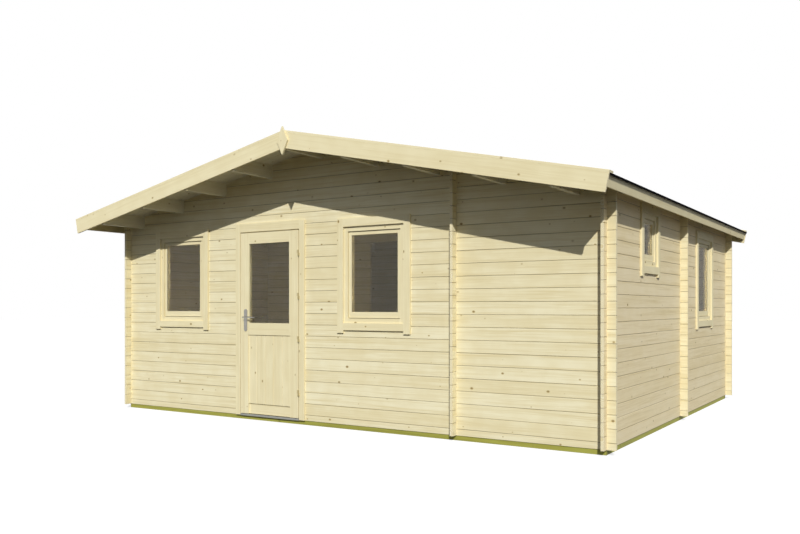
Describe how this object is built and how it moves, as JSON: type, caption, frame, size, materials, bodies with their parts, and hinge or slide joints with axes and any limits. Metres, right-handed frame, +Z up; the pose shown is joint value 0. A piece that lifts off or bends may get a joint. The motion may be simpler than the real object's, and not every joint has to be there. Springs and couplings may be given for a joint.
{
  "type": "log cabin",
  "caption": "Gabled log cabin of notched machined logs with crossed corners, a half-glazed hinged door, cased windows, inner log walls and a low felted roof with a deep front overhang",
  "frame": {"origin": "on the ground under the middle of the roof's plan", "axes": "+X to the right seen from the front, +Y from the front gable to the rear gable, +Z up"},
  "size_m": [6.2342, 5.705, 2.8881],
  "materials": {
    "log_spruce": "planed natural spruce logs with knots, untreated",
    "trim_spruce": "planed natural spruce boards, untreated",
    "board_spruce": "planed spruce boards and beams, untreated",
    "treated_timber": "pressure-impregnated, olive green",
    "roofing_felt": "black mineral-surfaced bitumen felt",
    "clear_glass": "clear glazing",
    "satin_steel": "satin",
    "grey_aluminium": "dull mill finish"
  },
  "bodies": {
    "cabin": {"foundation_beams": "treated_timber", "floor_joists": "treated_timber", "floor": "board_spruce", "front_wall_left": "log_spruce", "front_wall_right": "log_spruce", "front_gable": "log_spruce", "rear_wall": "log_spruce", "left_wall": "log_spruce", "right_wall": "log_spruce", "long_partition": "log_spruce", "long_partition_head": "log_spruce", "cross_partition": "log_spruce", "cross_partition_gable": "log_spruce", "ridge_purlin": "board_spruce", "left_purlins": "board_spruce", "right_purlins": "board_spruce", "left_roof_boards": "board_spruce", "right_roof_boards": "board_spruce", "left_roof_felt": "roofing_felt", "right_roof_felt": "roofing_felt", "front_barge_boards": "trim_spruce", "rear_barge_boards": "trim_spruce", "front_cover_boards": "trim_spruce", "rear_cover_boards": "trim_spruce", "front_finial": "trim_spruce", "rear_finial": "trim_spruce", "left_eave_board": "trim_spruce", "right_eave_board": "trim_spruce", "window_casings": "trim_spruce", "window_frames": "trim_spruce", "window_sashes": "trim_spruce", "window_panes": "clear_glass", "door_frame": "trim_spruce", "door_stops": "trim_spruce", "door_casing": "trim_spruce", "door_threshold": "grey_aluminium", "hinge_pins": "satin_steel"},
    "door": {"door_leaf": "trim_spruce", "door_panel": "trim_spruce", "door_glass": "clear_glass", "door_handles": "satin_steel", "hinge_knuckles": "satin_steel"}
  },
  "joints": [
    {"name": "door_hinge", "type": "hinge", "parent": "cabin", "child": "door", "pos_m": [-0.286, -2.2755, 1], "axis": [0, 0, 1], "range_deg": [0, 110]}
  ]
}
